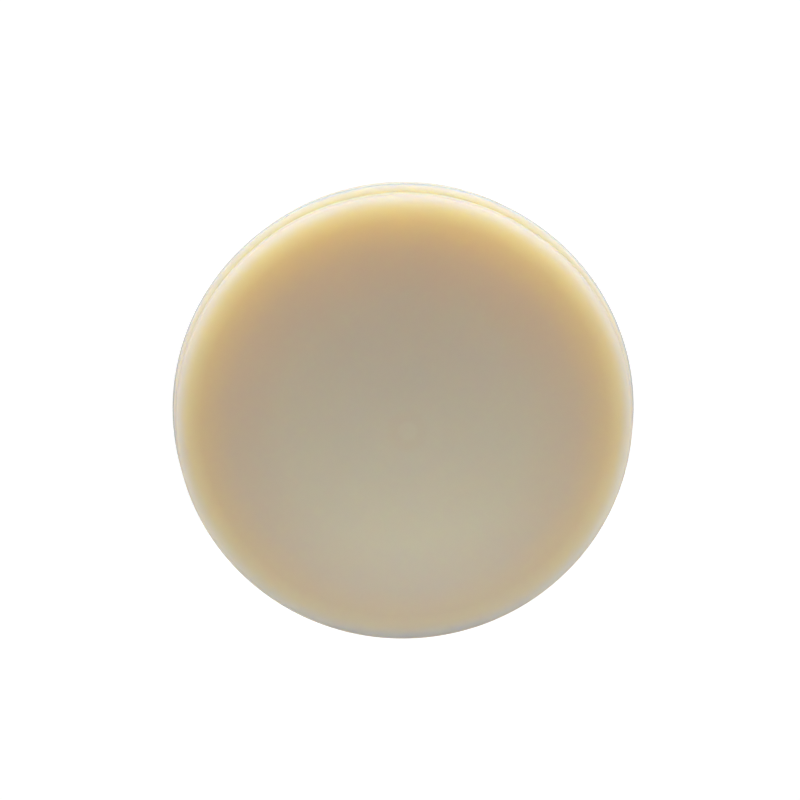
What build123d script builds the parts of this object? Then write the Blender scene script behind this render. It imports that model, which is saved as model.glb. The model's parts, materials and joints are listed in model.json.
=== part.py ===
from build123d import *
import os

# Dental milling disc: one solid turned blank with a clamping collar round its middle.
# It lies on its underside with its axis along Z, and the origin is the centre of the underside.
# All sizes are in millimetres.

# Collar, the ring that a milling machine's holder clamps
collar_diameter = 98.5
collar_thickness = 10.0
collar_edge_chamfer = 0.4

# Bosses, the equal round blocks that stand above and below the collar
shoulder_width = 1.75
boss_height = 7.5
boss_edge_radius = 0.6

# Rounded corner that the turning tool leaves where a boss meets its shoulder
root_radius = 0.3

# Radii of the section and the heights of its steps
collar_radius = collar_diameter / 2
boss_radius = collar_radius - shoulder_width
lower_shoulder_height = boss_height
upper_shoulder_height = lower_shoulder_height + collar_thickness
disc_height = upper_shoulder_height + boss_height


def at_radius(edge, radius):
    """Whether a circular edge has this radius."""
    return abs(edge.radius - radius) < 1e-4


with BuildPart() as milling_disc:

    # Half of the section, from the axis out to the collar, turned round the axis
    with BuildSketch(Plane.XZ) as half_section:
        with BuildLine() as outline:
            Polyline(
                (0, 0),
                (boss_radius, 0),
                (boss_radius, lower_shoulder_height),
                (collar_radius, lower_shoulder_height),
                (collar_radius, upper_shoulder_height),
                (boss_radius, upper_shoulder_height),
                (boss_radius, disc_height),
                (0, disc_height),
                close=True,
            )
        make_face()
    revolve(axis=Axis.Z)

    circles = milling_disc.edges().filter_by(GeomType.CIRCLE)
    levels = circles.group_by(Axis.Z)
    face_rims = levels[0] + levels[-1]
    shoulder_circles = levels[1] + levels[-2]

    # The two edges of the collar are broken with a chamfer
    collar_edges = shoulder_circles.filter_by(lambda edge: at_radius(edge, collar_radius))
    chamfer(collar_edges, length=collar_edge_chamfer)

    # The inner corners at the foot of each boss keep the tool's nose radius
    root_edges = shoulder_circles.filter_by(lambda edge: at_radius(edge, boss_radius))
    fillet(root_edges, radius=root_radius)

    # The rims of the two faces are rounded over
    fillet(face_rims, radius=boss_edge_radius)

milling_disc.part.label = "milling_disc"
milling_disc.part.color = Color(0.80, 0.72, 0.58)

os.makedirs("parts", exist_ok=True)
export_step(milling_disc.part, "parts/milling_disc.step")
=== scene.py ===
import json
from math import pi, radians

import bpy
from bpy.props import FloatProperty, FloatVectorProperty, IntProperty, PointerProperty
from bpy.types import Operator, Panel, PropertyGroup
from mathutils import Matrix, Vector


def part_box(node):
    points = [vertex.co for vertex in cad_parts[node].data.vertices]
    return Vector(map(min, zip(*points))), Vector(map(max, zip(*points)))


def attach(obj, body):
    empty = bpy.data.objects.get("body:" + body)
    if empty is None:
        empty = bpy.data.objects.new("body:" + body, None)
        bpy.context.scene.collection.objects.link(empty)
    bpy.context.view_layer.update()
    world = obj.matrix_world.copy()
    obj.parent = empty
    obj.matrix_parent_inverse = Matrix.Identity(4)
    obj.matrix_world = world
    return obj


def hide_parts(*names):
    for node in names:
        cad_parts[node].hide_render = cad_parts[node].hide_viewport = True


bl_info = {
    "name": "Dental Milling Disc",
    "version": (1, 0, 0),
    "blender": (4, 5, 0),
    "location": "3D View > Sidebar > Milling Disc",
    "description": "Turns a translucent milling disc and sets it on a pale studio floor",
    "category": "Object",
}

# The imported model, and the sizes that the disc takes from it, in metres
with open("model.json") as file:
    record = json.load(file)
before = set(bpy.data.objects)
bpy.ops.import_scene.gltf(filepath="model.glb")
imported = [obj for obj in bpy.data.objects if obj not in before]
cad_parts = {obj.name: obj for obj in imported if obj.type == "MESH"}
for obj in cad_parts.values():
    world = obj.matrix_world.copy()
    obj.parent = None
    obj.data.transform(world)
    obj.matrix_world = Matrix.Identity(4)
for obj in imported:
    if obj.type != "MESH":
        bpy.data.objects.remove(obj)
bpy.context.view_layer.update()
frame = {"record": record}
NODE = "milling_disc"
MM = 0.001
MOUNTS = {mount["name"]: mount for mount in frame["record"]["mounts"]}
DISC_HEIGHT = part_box(NODE)[1].z
COLLAR_RADIUS = MOUNTS["clamp_collar"]["dims"]["r_mm"] * MM
COLLAR_WALL = MOUNTS["clamp_collar"]["dims"]["length_mm"] * MM
LOWER_SHOULDER = MOUNTS["lower_shoulder"]["pos_m"][2]
UPPER_SHOULDER = MOUNTS["upper_shoulder"]["pos_m"][2]
COLLAR_CHAMFER = (UPPER_SHOULDER - LOWER_SHOULDER - COLLAR_WALL) / 2


class DiscSizes(PropertyGroup):
    """Sizes of the turned section"""

    collar_radius: FloatProperty(
        name="Collar radius",
        description="Radius of the clamping collar",
        default=COLLAR_RADIUS,
        unit="LENGTH",
    )
    shoulder_width: FloatProperty(
        name="Shoulder width",
        description="How far the collar stands out of the bosses",
        default=1.75 * MM,
        unit="LENGTH",
    )
    boss_edge_radius: FloatProperty(
        name="Boss edge radius",
        description="Rounding of the two face rims",
        default=0.6 * MM,
        unit="LENGTH",
    )
    root_radius: FloatProperty(
        name="Root radius",
        description="Rounding where a boss meets its shoulder",
        default=0.3 * MM,
        unit="LENGTH",
    )
    collar_chamfer: FloatProperty(
        name="Collar chamfer",
        description="Chamfer on the collar's two edges",
        default=COLLAR_CHAMFER,
        unit="LENGTH",
    )
    sectors: IntProperty(name="Sectors", description="Faces round the disc", default=288, min=12)
    face_rings: IntProperty(
        name="Face rings", description="Ring cuts in each flat face", default=24, min=1
    )


class AcrylicLook(PropertyGroup):
    """Colours and finish of the tooth-coloured acrylic"""

    heart_colour: FloatVectorProperty(
        name="Heart colour",
        description="Colour where the disc is thick",
        subtype="COLOR",
        default=(0.527, 0.471, 0.374),
    )
    # From the mantle out to the collar, the colours hold painted glow of light passing through the
    # thin edges
    mantle_colour: FloatVectorProperty(
        name="Mantle colour",
        description="Colour 13 mm in from the collar's edge",
        subtype="COLOR",
        default=(0.516, 0.426, 0.35),
    )
    glow_colour: FloatVectorProperty(
        name="Glow colour",
        description="Colour 7 mm in from the collar's edge",
        subtype="COLOR",
        default=(0.565, 0.411, 0.296),
    )
    edge_colour: FloatVectorProperty(
        name="Edge colour",
        description="Colour 5 mm in from the collar's edge",
        subtype="COLOR",
        default=(0.632, 0.46, 0.312),
    )
    # The rim's pale colour is painted glow and a painted highlight of the rounded rim
    rim_glow_and_highlight_colour: FloatVectorProperty(
        name="Rim colour",
        description="Pale colour of the face's rim",
        subtype="COLOR",
        default=(0.662, 0.488, 0.405),
    )
    shoulder_colour: FloatVectorProperty(
        name="Shoulder colour",
        description="Colour at the foot of a boss",
        subtype="COLOR",
        default=(0.735, 0.475, 0.325),
    )
    collar_colour: FloatVectorProperty(
        name="Collar colour",
        description="Pale colour of the collar's edge",
        subtype="COLOR",
        default=(0.75, 0.505, 0.415),
    )
    # The chamfers' darker colour is painted shade, for the grey line along the disc's outline
    chamfer_shade_colour: FloatVectorProperty(
        name="Chamfer colour",
        description="Painted shade colour of the collar's chamfers",
        subtype="COLOR",
        default=(0.52, 0.47, 0.41),
    )
    # A painted dark line that stands in for the grey reflection along the collar's sharp outer
    # corners
    painted_edge_line_colour: FloatVectorProperty(
        name="Painted edge line colour",
        description="Colour of the collar's sharp outer corners",
        subtype="COLOR",
        default=(0.42, 0.345, 0.275),
    )
    wall_colour: FloatVectorProperty(
        name="Wall colour",
        description="Colour of the turned walls",
        subtype="COLOR",
        default=(0.75, 0.55, 0.34),
    )
    # The foot's warmer colour is a painted tint that offsets the bluish shade under the collar
    shaded_foot_colour: FloatVectorProperty(
        name="Foot colour",
        description="Colour of the wall at the underside",
        subtype="COLOR",
        default=(0.80, 0.53, 0.31),
    )
    scatter_distance: FloatVectorProperty(
        name="Scatter distance",
        description="How far red, green and blue light spread inside, in millimetres",
        default=(100.0, 60.0, 20.0),
    )
    roughness: FloatProperty(
        name="Roughness",
        description="Roughness of the turned surface",
        default=0.35,
        subtype="FACTOR",
    )


class StageSetup(PropertyGroup):
    """Lamps and floor. A strength of 1 shows a white surface that faces the lamp as white."""

    rim_light: FloatProperty(
        name="Rim light", description="Soft lamp low behind the disc", default=0.41
    )
    strip_light: FloatProperty(
        name="Strip light", description="Narrow lamp behind the disc, level with it", default=0.68
    )
    left_light: FloatProperty(
        name="Left light", description="Soft lamp low on the picture's left", default=0.523
    )
    right_light: FloatProperty(
        name="Right light", description="Soft lamp low on the picture's right", default=0.59
    )
    face_light: FloatProperty(
        name="Face light", description="Soft lamp above the face", default=0.418
    )
    near_light: FloatProperty(
        name="Near light", description="Soft lamp above the face's nearer edge", default=0.532
    )
    sky_light: FloatProperty(
        name="Sky light", description="Even light from all round", default=0.12
    )
    floor_white: FloatProperty(
        name="Floor white", description="White that the floor adds beside the disc", default=0.85
    )


class Wire:
    """A node socket. Arithmetic on it adds Math nodes."""

    def __init__(self, graph, socket):
        self.graph = graph
        self.socket = socket

    def math(self, operation, *others):
        return self.graph.add("ShaderNodeMath", {"operation": operation}, (self, *others))

    def __add__(self, other):
        return self.math("ADD", other)

    def __sub__(self, other):
        return self.math("SUBTRACT", other)

    def __rsub__(self, other):
        return self.graph.add("ShaderNodeMath", {"operation": "SUBTRACT"}, (other, self))

    def __mul__(self, other):
        return self.math("MULTIPLY", other)

    def __truediv__(self, other):
        return self.math("DIVIDE", other)

    def __mod__(self, other):
        return self.math("MODULO", other)


class Graph:
    """A node tree that is filled node by node."""

    def __init__(self, tree):
        self.tree = tree
        tree.nodes.clear()

    def add(self, kind, settings=None, values=(), out=0):
        """One new node: its settings, then a value or a link for each named or numbered socket."""
        node = self.tree.nodes.new(kind)
        for name, setting in (settings or {}).items():
            if name == "stops":
                self.set_stops(node.color_ramp, setting, settings.get("span", 1.0))
            elif name == "span":
                continue
            elif name == "cases":
                while len(node.index_switch_items) < setting:
                    node.index_switch_items.new()
            else:
                setattr(node, name, setting)
        pairs = values.items() if isinstance(values, dict) else enumerate(values)
        for key, value in pairs:
            if isinstance(value, Wire):
                self.tree.links.new(value.socket, node.inputs[key])
            else:
                node.inputs[key].default_value = value
        return Wire(self, node.outputs[out]) if len(node.outputs) else node

    def set_stops(self, ramp, stops, span):
        """Gives a colour ramp its stops, each a place on the span and a colour."""
        while len(ramp.elements) > 1:
            ramp.elements.remove(ramp.elements[-1])
        for number, (place, colour) in enumerate(stops):
            stop = ramp.elements.new(place / span) if number else ramp.elements[0]
            stop.position = place / span
            stop.color = (*colour, 1)

    def mix(self, share, first, second):
        """A colour between two others. The node names its sockets alike, so they go by number."""
        mixed = {0: share, 6: first, 7: second}
        return self.add("ShaderNodeMix", {"data_type": "RGBA"}, mixed, out=2)

    def split(self, vector):
        """The three coordinates of a vector socket."""
        node = self.add("ShaderNodeSeparateXYZ", values=[vector]).socket.node
        return [Wire(self, socket) for socket in node.outputs]

    def distance(self, x, y):
        """How far a point is from where both coordinates are 0."""
        return (x * x + y * y).math("SQRT")

    def join(self, x, y, z):
        """A vector socket of three coordinates."""
        return self.add("ShaderNodeCombineXYZ", values=[x, y, z])


# Points on each rounded corner, the widest bend that shades smooth, and the gap that still closes
# where the turned surface meets itself
CORNER_POINTS = 8
SMOOTH_ANGLE = radians(30)
SEAM_GAP = 0.001 * MM


def turned_disc_tree():
    """The node tree that turns the disc's half section round its axis."""
    tree = bpy.data.node_groups.new("turned_disc", "GeometryNodeTree")
    sockets = tree.interface
    radii = ("Collar Radius", "Shoulder Width", "Boss Edge Radius", "Root Radius", "Collar Chamfer")
    heights = ("Lower Shoulder", "Upper Shoulder", "Disc Height")
    for name in (*radii, *heights):
        sockets.new_socket(name, in_out="INPUT", socket_type="NodeSocketFloat")
    for name in ("Sectors", "Face Rings"):
        sockets.new_socket(name, in_out="INPUT", socket_type="NodeSocketInt")
    sockets.new_socket("Material", in_out="INPUT", socket_type="NodeSocketMaterial")
    sockets.new_socket("Disc", in_out="OUTPUT", socket_type="NodeSocketGeometry")
    graph = Graph(tree)
    given = tree.nodes.new("NodeGroupInput")
    size = {socket.name: Wire(graph, socket) for socket in given.outputs if socket.name}

    # Corners of the half section, from the middle of the underside up to the middle of the face,
    # each with its distance from the axis, its height and its rounding
    collar, chamfer = size["Collar Radius"], size["Collar Chamfer"]
    low, high, top = size["Lower Shoulder"], size["Upper Shoulder"], size["Disc Height"]
    boss = collar - size["Shoulder Width"]
    corners = (
        (0.0, 0.0, 0.0),
        (boss, 0.0, size["Boss Edge Radius"]),
        (boss, low, size["Root Radius"]),
        (collar - chamfer, low, 0.0),
        (collar, low + chamfer, 0.0),
        (collar, high - chamfer, 0.0),
        (collar - chamfer, high, 0.0),
        (boss, high, size["Root Radius"]),
        (boss, top, size["Boss Edge Radius"]),
        (0.0, top, 0.0),
    )
    index = graph.add("GeometryNodeInputIndex")
    places = [index] + [graph.join(out, 0.0, up) for out, up, _ in corners]
    rounding = [index] + [radius for _, _, radius in corners]
    cases = len(corners)
    place = graph.add("GeometryNodeIndexSwitch", {"data_type": "VECTOR", "cases": cases}, places)
    radius = graph.add("GeometryNodeIndexSwitch", {"data_type": "FLOAT", "cases": cases}, rounding)
    chain = graph.add("GeometryNodeMeshLine", values={"Count": cases})
    chain = graph.add("GeometryNodeSetPosition", values={"Geometry": chain, "Position": place})
    outline = graph.add("GeometryNodeMeshToCurve", values={"Mesh": chain})
    rounded = {"Curve": outline, "Count": CORNER_POINTS, "Radius": radius}
    outline = graph.add("GeometryNodeFilletCurve", {"mode": "POLY"}, rounded)

    # The two flat faces are cut into rings, so that they shade flat up to their rounded rims
    count = graph.add("GeometryNodeAttributeDomainSize", {"component": "CURVE"}, [outline])
    last = count - 2.0
    first_or_last = index.math("COMPARE", 0.0, 0.5) + index.math("COMPARE", last, 0.5)
    cuts = first_or_last * size["Face Rings"]
    outline = graph.add("GeometryNodeSubdivideCurve", values={"Curve": outline, "Cuts": cuts})
    count = graph.add("GeometryNodeAttributeDomainSize", {"component": "CURVE"}, [outline])

    # A grid whose columns go round the axis and whose rows follow the outline
    columns = size["Sectors"] + 1.0
    grid = graph.add("GeometryNodeMeshGrid", values={"Vertices X": columns, "Vertices Y": count})
    position = graph.add("GeometryNodeInputPosition")
    picked = {"Geometry": outline, "Value": position, "Index": index % count}
    picked = graph.add("GeometryNodeSampleIndex", {"data_type": "FLOAT_VECTOR"}, picked)
    out, _, up = graph.split(picked)
    turn = (index / count).math("FLOOR") * (2 * pi) / size["Sectors"]
    turned = graph.join(out * turn.math("COSINE"), out * turn.math("SINE"), up)
    disc = graph.add("GeometryNodeSetPosition", values={"Geometry": grid, "Position": turned})
    disc = graph.add("GeometryNodeMergeByDistance", values={"Geometry": disc, "Distance": SEAM_GAP})

    # Corners stay crisp and rounded rims shade smooth
    bend = graph.add("GeometryNodeInputMeshEdgeAngle")
    smooth = bend.math("LESS_THAN", SMOOTH_ANGLE)
    for domain, shading in (("FACE", True), ("EDGE", smooth)):
        shaded = {"Geometry": disc, "Shade Smooth": shading}
        disc = graph.add("GeometryNodeSetShadeSmooth", {"domain": domain}, shaded)
    disc = graph.add("GeometryNodeRealizeInstances", values={"Geometry": disc})
    finished = {"Geometry": disc, "Material": size["Material"]}
    disc = graph.add("GeometryNodeSetMaterial", values=finished)
    graph.add("NodeGroupOutput", values=[disc])
    return tree


def plain_mesh(name, tree, values):
    """A plain mesh of what a node tree makes of these named input values."""
    maker = bpy.data.objects.new(name, bpy.data.meshes.new(name))
    bpy.context.scene.collection.objects.link(maker)
    modifier = maker.modifiers.new("shape", "NODES")
    modifier.node_group = tree
    for item in tree.interface.items_tree:
        if item.name in values:
            modifier[item.identifier] = values[item.name]
    evaluated = maker.evaluated_get(bpy.context.evaluated_depsgraph_get())
    mesh = bpy.data.meshes.new_from_object(evaluated)
    bpy.data.objects.remove(maker)
    return mesh


# The faint cloudiness of the body: how fine it is, and how far it changes the value and the hue
CLOUD_SCALE, CLOUD_DRIFT = 45.0, 0.03
TINT_SCALE, TINT_DRIFT = 90.0, 0.006

# The walls' own colour, in millimetres: its short step at the chamfers, its fade over the roots,
# where its fade below a face starts and ends, and the heights of the foot's and the wall's colour
CHAMFER_STEP = 0.04
ROOT_FADE = 0.4
RIM_FADE = (0.7, 0.1)
# The foot's colour is a painted tint against the shade under the collar
FOOT_HEIGHT = 2.0
WALL_HEIGHT = 11.0

# The ringed mark that the mould left near the middle of the faces: its place off the axis, its
# reach, and by distance in millimetres its shares of the colour that lies under it
MARK_PLACE = (-0.6 * MM, 0.95 * MM)
MARK_REACH_MM = 20.0
PLAIN = (1.0, 1.0, 1.0)
PIP = (1.026, 1.024, 1.02)
DITCH = (1.006, 0.978, 0.966)
RIPPLE = (1.005, 1.005, 1.004)
MARK_RINGS = (
    (0.0, PIP),
    (1.5, PIP),
    (2.3, DITCH),
    (3.6, DITCH),
    (4.8, RIPPLE),
    (6.8, RIPPLE),
    (8.6, (0.995, 0.995, 0.995)),
    (11.0, PLAIN),
    (15.0, PLAIN),
    (17.0, (1.004, 1.004, 1.004)),
    (19.0, PLAIN),
)

# The fine rings of the facing tool: how many to a metre, how far they change the roughness, and
# their depth with the share of it that shows
GROOVES_PER_METRE = 1500.0
GROOVE_ROUGHNESS = 0.06
GROOVE_DEPTH, GROOVE_SHARE = 0.02 * MM, 0.04

ACRYLIC_IOR = 1.49


def tooth_acrylic(look):
    """Translucent tooth-coloured acrylic, fine turned and lightly polished."""
    material = bpy.data.materials.new("tooth_acrylic")
    material.use_nodes = True
    graph = Graph(material.node_tree)
    point = graph.add("ShaderNodeTexCoord", out="Object")
    across, along, up = graph.split(point)
    radius = graph.distance(across, along)

    # Colours by distance from the axis in millimetres. The rims are paler than the heart, because
    # light from outside passes through them: the scattering inside renders part of that glow, and
    # these colours add painted glow to it.
    stops = [
        (0.0, look.heart_colour),
        (26.0, look.heart_colour),
        (36.0, look.mantle_colour),
        (42.0, look.glow_colour),
        (44.7, look.edge_colour),
        # Painted glow and painted highlight on the face's rim
        (46.5, look.rim_glow_and_highlight_colour),
        (47.7, look.shoulder_colour),
        (48.8, look.collar_colour),
        # Painted shade on the chamfers
        (49.0, look.chamfer_shade_colour),
        (49.1, look.chamfer_shade_colour),
        # Painted dark reflection line on the collar's sharp outer corners
        (49.18, look.painted_edge_line_colour),
    ]
    ramp = {"stops": stops, "span": COLLAR_RADIUS / MM}
    colour = graph.add("ShaderNodeValToRGB", ramp, [radius / COLLAR_RADIUS])

    # The walls have a colour of their own, which leaves out the chamfers, the shoulders and the
    # rims. Its bands go by height from the disc's middle in millimetres.
    shoulder, face = (UPPER_SHOULDER - LOWER_SHOULDER) / 2 / MM, DISC_HEIGHT / 2 / MM
    chamfer = COLLAR_CHAMFER / MM
    flat, wall = (0.0, 0.0, 0.0), (1.0, 1.0, 1.0)
    bands = [
        (0.0, wall),
        (shoulder - chamfer - CHAMFER_STEP, wall),
        (shoulder - chamfer, flat),
        (shoulder, flat),
        (shoulder + ROOT_FADE, wall),
        (face - RIM_FADE[0], wall),
        (face - RIM_FADE[1], flat),
    ]
    rise = (up - DISC_HEIGHT / 2).math("ABSOLUTE")
    share = graph.add("ShaderNodeValToRGB", {"stops": bands, "span": face}, [rise / (face * MM)])
    # Low on the walls, a painted warm tint against the shade under the collar
    heights = [(FOOT_HEIGHT, look.shaded_foot_colour), (WALL_HEIGHT, look.wall_colour)]
    ramp = {"stops": heights, "span": DISC_HEIGHT / MM}
    walls = graph.add("ShaderNodeValToRGB", ramp, [up / DISC_HEIGHT])
    colour = graph.mix(share, colour, walls)

    # Faint cloudiness in the body
    large = {"Vector": point, "Scale": CLOUD_SCALE, "Detail": 3.0}
    cloud = graph.add("ShaderNodeTexNoise", values=large)
    small = {"Vector": point, "Scale": TINT_SCALE, "Detail": 1.0}
    tint = graph.add("ShaderNodeTexNoise", values=small)
    changed = {
        "Hue": (tint - 0.5) * TINT_DRIFT + 0.5,
        "Value": (cloud - 0.5) * CLOUD_DRIFT + 1.0,
        "Color": colour,
    }
    colour = graph.add("ShaderNodeHueSaturation", values=changed)

    # The mark. A ramp can't pass 1, so it holds half of each share.
    mark = graph.distance(across - MARK_PLACE[0], along - MARK_PLACE[1])
    halves = [(place, [share / 2 for share in shares]) for place, shares in MARK_RINGS]
    ramp = {"stops": halves, "span": MARK_REACH_MM}
    mark = graph.add("ShaderNodeValToRGB", ramp, [mark / (MARK_REACH_MM * MM)])
    mark = graph.add("ShaderNodeVectorMath", {"operation": "SCALE"}, {"Vector": mark, "Scale": 2.0})
    colour = graph.add("ShaderNodeVectorMath", {"operation": "MULTIPLY"}, [colour, mark])

    # Fine rings that the facing tool left
    lane = graph.join(radius * GROOVES_PER_METRE, 0.0, 0.0)
    grooves = graph.add("ShaderNodeTexNoise", values={"Vector": lane, "Scale": 1.0, "Detail": 1.0})
    roughness = (grooves - 0.5) * GROOVE_ROUGHNESS + look.roughness
    relief = {"Strength": GROOVE_SHARE, "Distance": GROOVE_DEPTH, "Height": grooves}
    normal = graph.add("ShaderNodeBump", values=relief)
    scatter = [distance * MM for distance in look.scatter_distance]
    surface = graph.add(
        "ShaderNodeBsdfPrincipled",
        values={
            "Base Color": colour,
            "Roughness": roughness,
            "Normal": normal,
            "IOR": ACRYLIC_IOR,
            "Subsurface Weight": 1.0,
            "Subsurface Radius": scatter,
            "Subsurface Scale": 1.0,
        },
    )
    graph.add("ShaderNodeOutputMaterial", values={"Surface": surface})
    return material


class DISC_OT_turn_blank(Operator):
    """Turn the disc's section round its axis and give it the acrylic"""

    bl_idname = "disc.turn_blank"
    bl_label = "Turn Blank"

    def execute(self, context):
        sizes = context.scene.disc_sizes
        values = {
            "Collar Radius": sizes.collar_radius,
            "Shoulder Width": sizes.shoulder_width,
            "Boss Edge Radius": sizes.boss_edge_radius,
            "Root Radius": sizes.root_radius,
            "Collar Chamfer": sizes.collar_chamfer,
            "Lower Shoulder": LOWER_SHOULDER,
            "Upper Shoulder": UPPER_SHOULDER,
            "Disc Height": DISC_HEIGHT,
            "Sectors": sizes.sectors,
            "Face Rings": sizes.face_rings,
            "Material": tooth_acrylic(context.scene.acrylic_look),
        }
        mesh = plain_mesh("turned_blank", turned_disc_tree(), values)
        if not mesh.polygons:
            raise RuntimeError("the disc came out empty")
        blank = bpy.data.objects.new("turned_blank", mesh)
        context.scene.collection.objects.link(blank)
        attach(blank, "root")
        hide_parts(NODE)
        return {"FINISHED"}


# The photograph's frame, and where its camera stands over the upper face
PICTURE_SIDE_PX = 800
FACE_CENTRE_PX = (404.5, 426.7)
FOCAL_LENGTH_PX = 1143.6
CAMERA_DISTANCE = 236.9 * MM
CAMERA_TILT = radians(14.27)
CAMERA_ROLL = radians(4.45)
SENSOR_WIDTH_MM = 36.0


def place_camera(scene):
    """A camera that looks down on the face, with the disc's -Y side at the top of the picture."""
    half = PICTURE_SIDE_PX / 2
    right, down = FACE_CENTRE_PX
    ray = Vector((right - half, half - down, -FOCAL_LENGTH_PX)).normalized()
    back, upright = -ray, Vector((0, 1, 0))
    upright = (upright - back * upright.dot(back)).normalized()
    upright = Matrix.Rotation(CAMERA_ROLL, 3, back) @ upright
    tilt = Matrix.Rotation(CAMERA_TILT, 3, upright.cross(back))
    face_up, face_front = tilt @ back, tilt @ upright
    turn = Matrix((face_up.cross(face_front), -face_front, face_up))
    place = Vector((0, 0, DISC_HEIGHT)) - turn @ (ray * CAMERA_DISTANCE)
    data = bpy.data.cameras.new("camera")
    data.sensor_width = SENSOR_WIDTH_MM
    data.lens = FOCAL_LENGTH_PX / PICTURE_SIDE_PX * SENSOR_WIDTH_MM
    data.clip_start = 0.01
    camera = bpy.data.objects.new("camera", data)
    camera.matrix_world = Matrix.Translation(place) @ turn.to_4x4()
    scene.collection.objects.link(camera)
    scene.camera = camera


# Tints of the low lamps round the rim and of those above the face
COOL = (0.915, 0.97, 1.105)
WARM = (1.105, 1.055, 0.905)


def add_lamp(name, place, aim, size, strength, colour):
    """A soft rectangular lamp, with its place, aim and size in millimetres.

    It isn't seen in gloss, because the low lamps' glare would wash the disc out from behind.
    """
    place, aim = Vector(place) * MM, Vector(aim) * MM
    data = bpy.data.lights.new(name, "AREA")
    data.shape = "RECTANGLE"
    data.size, data.size_y = size[0] * MM, size[1] * MM
    # At this energy and strength 1, a white surface at the aim shows as white
    data.energy = strength * (pi * (place - aim).length) ** 2
    data.color = colour
    lamp = bpy.data.objects.new(name, data)
    lamp.location = place
    lamp.rotation_mode = "QUATERNION"
    lamp.rotation_quaternion = (aim - place).to_track_quat("-Z", "Y")
    lamp.visible_camera = False
    lamp.visible_glossy = False
    bpy.context.scene.collection.objects.link(lamp)


# The floor: its half width, its paint and grain, and where its own white starts to rise and where
# it is full, by distance from the axis
FLOOR_REACH = 3.0
FLOOR_PAINT = (0.35, 0.35, 0.35, 1)
GRAIN_SCALE, GRAIN_DRIFT = 40.0, 0.02
WHITE_RISE = (0.1, 0.4)


def lay_floor(white):
    """A pale floor, white to the camera and in gloss, that keeps the disc's soft shadow."""
    reach = FLOOR_REACH
    corners = [(-reach, -reach, 0), (reach, -reach, 0), (reach, reach, 0), (-reach, reach, 0)]
    mesh = bpy.data.meshes.new("floor")
    mesh.from_pydata(corners, [], [(0, 1, 2, 3)])
    material = bpy.data.materials.new("floor")
    material.use_nodes = True
    graph = Graph(material.node_tree)
    grain = graph.add("ShaderNodeTexNoise", values={"Scale": GRAIN_SCALE})
    changed = {"Value": (grain - 0.5) * GRAIN_DRIFT + 1.0, "Color": FLOOR_PAINT}
    paint = graph.add("ShaderNodeHueSaturation", values=changed)
    matt = graph.add("ShaderNodeBsdfDiffuse", values={"Color": paint})

    # The lamps leave the floor dark far from the disc, so it gives more white of its own there
    across, along, _ = graph.split(graph.add("ShaderNodeTexCoord", out="Object"))
    rise = {
        "Value": graph.distance(across, along),
        "From Min": WHITE_RISE[0],
        "From Max": WHITE_RISE[1],
        "To Min": white,
        "To Max": 1.0,
    }
    lift = graph.add("ShaderNodeMapRange", {"interpolation_type": "SMOOTHSTEP"}, rise)
    shown = lift * seen_rays(graph)
    glow = graph.add("ShaderNodeEmission", values={"Color": (1, 1, 1, 1), "Strength": shown})
    both = graph.add("ShaderNodeAddShader", values=[matt, glow])
    graph.add("ShaderNodeOutputMaterial", values={"Surface": both})
    mesh.materials.append(material)
    floor = bpy.data.objects.new("floor", mesh)
    bpy.context.scene.collection.objects.link(floor)


def seen_rays(graph):
    """1 for rays that show the background: those of the camera, of gloss and of glass."""
    path = graph.add("ShaderNodeLightPath").socket.node
    names = ("Is Camera Ray", "Is Glossy Ray", "Is Transmission Ray")
    camera, gloss, glass = (Wire(graph, path.outputs[name]) for name in names)
    return (camera + gloss + glass).math("MINIMUM", 1.0)


def light_sky(scene, strength):
    """Even light from all round. The camera sees it white."""
    scene.world = bpy.data.worlds.new("sky")
    scene.world.use_nodes = True
    graph = Graph(scene.world.node_tree)
    seen = seen_rays(graph)
    shown = seen + (1 - seen) * strength
    sky = graph.add("ShaderNodeBackground", values={"Color": (1, 1, 1, 1), "Strength": shown})
    graph.add("ShaderNodeOutputWorld", values={"Surface": sky})


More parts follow.
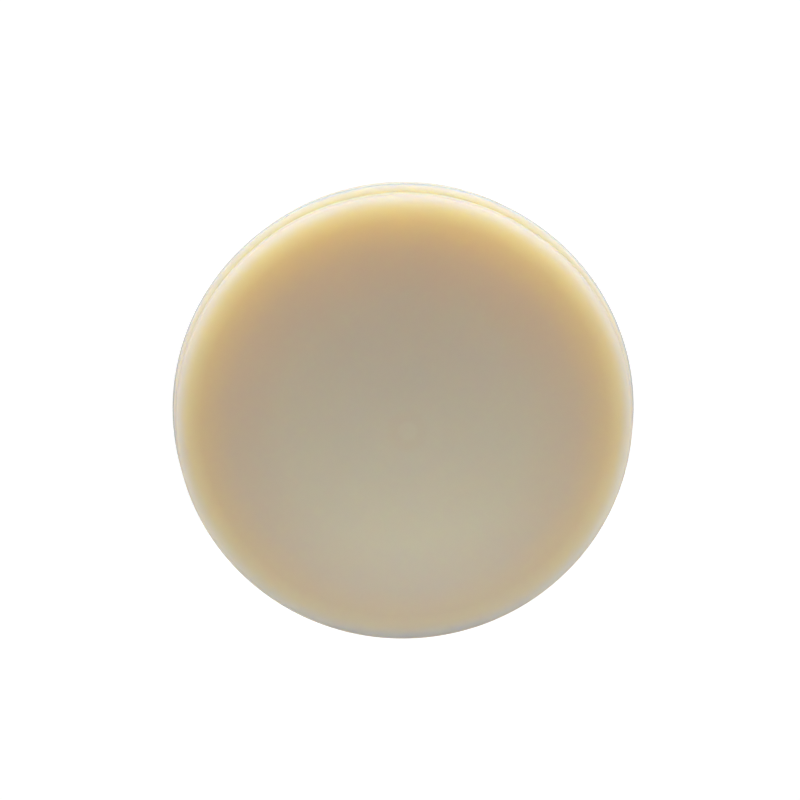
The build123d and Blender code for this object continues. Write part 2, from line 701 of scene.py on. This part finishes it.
class DISC_OT_set_stage(Operator):
    """Set the camera, the lamps and the pale floor"""

    bl_idname = "disc.set_stage"
    bl_label = "Set Stage"

    def execute(self, context):
        scene, stage = context.scene, context.scene.stage_setup
        place_camera(scene)
        middle, wide, strip, small = (0, 0, 12.5), (300, 150), (300, 50), (60, 60)
        add_lamp("rim_lamp", (0, -495, 82), middle, wide, stage.rim_light, COOL)
        add_lamp("strip_lamp", (0, -499, 39), middle, strip, stage.strip_light, COOL)
        add_lamp("left_lamp", (488, -86, 82), middle, wide, stage.left_light, COOL)
        add_lamp("right_lamp", (-488, -86, 82), middle, wide, stage.right_light, COOL)
        add_lamp("face_lamp", (0, 35, 135), (0, 35, 25), small, stage.face_light, WARM)
        add_lamp("near_lamp", (0, 60, 105), (0, 60, 25), small, stage.near_light, WARM)
        lay_floor(stage.floor_white)
        light_sky(scene, stage.sky_light)
        scene.view_settings.view_transform = "Standard"
        return {"FINISHED"}


class DISC_PT_sidebar(Panel):
    """The disc's sizes, finish and stage"""

    bl_idname = "DISC_PT_sidebar"
    bl_label = "Milling Disc"
    bl_space_type = "VIEW_3D"
    bl_region_type = "UI"
    bl_category = "Milling Disc"

    def draw(self, context):
        layout = self.layout
        steps = (
            (context.scene.disc_sizes, None),
            (context.scene.acrylic_look, DISC_OT_turn_blank),
            (context.scene.stage_setup, DISC_OT_set_stage),
        )
        for group, operator in steps:
            for name in group.__annotations__:
                layout.prop(group, name)
            if operator:
                layout.operator(operator.bl_idname)


CLASSES = (
    DiscSizes,
    AcrylicLook,
    StageSetup,
    DISC_OT_turn_blank,
    DISC_OT_set_stage,
    DISC_PT_sidebar,
)


def register():
    for kept in CLASSES:
        bpy.utils.register_class(kept)
    bpy.types.Scene.disc_sizes = PointerProperty(type=DiscSizes)
    bpy.types.Scene.acrylic_look = PointerProperty(type=AcrylicLook)
    bpy.types.Scene.stage_setup = PointerProperty(type=StageSetup)


def unregister():
    for name in ("disc_sizes", "acrylic_look", "stage_setup"):
        delattr(bpy.types.Scene, name)
    for kept in reversed(CLASSES):
        bpy.utils.unregister_class(kept)


def main():
    register()
    bpy.ops.disc.turn_blank()
    bpy.ops.disc.set_stage()


if __name__ == "__main__":
    main()
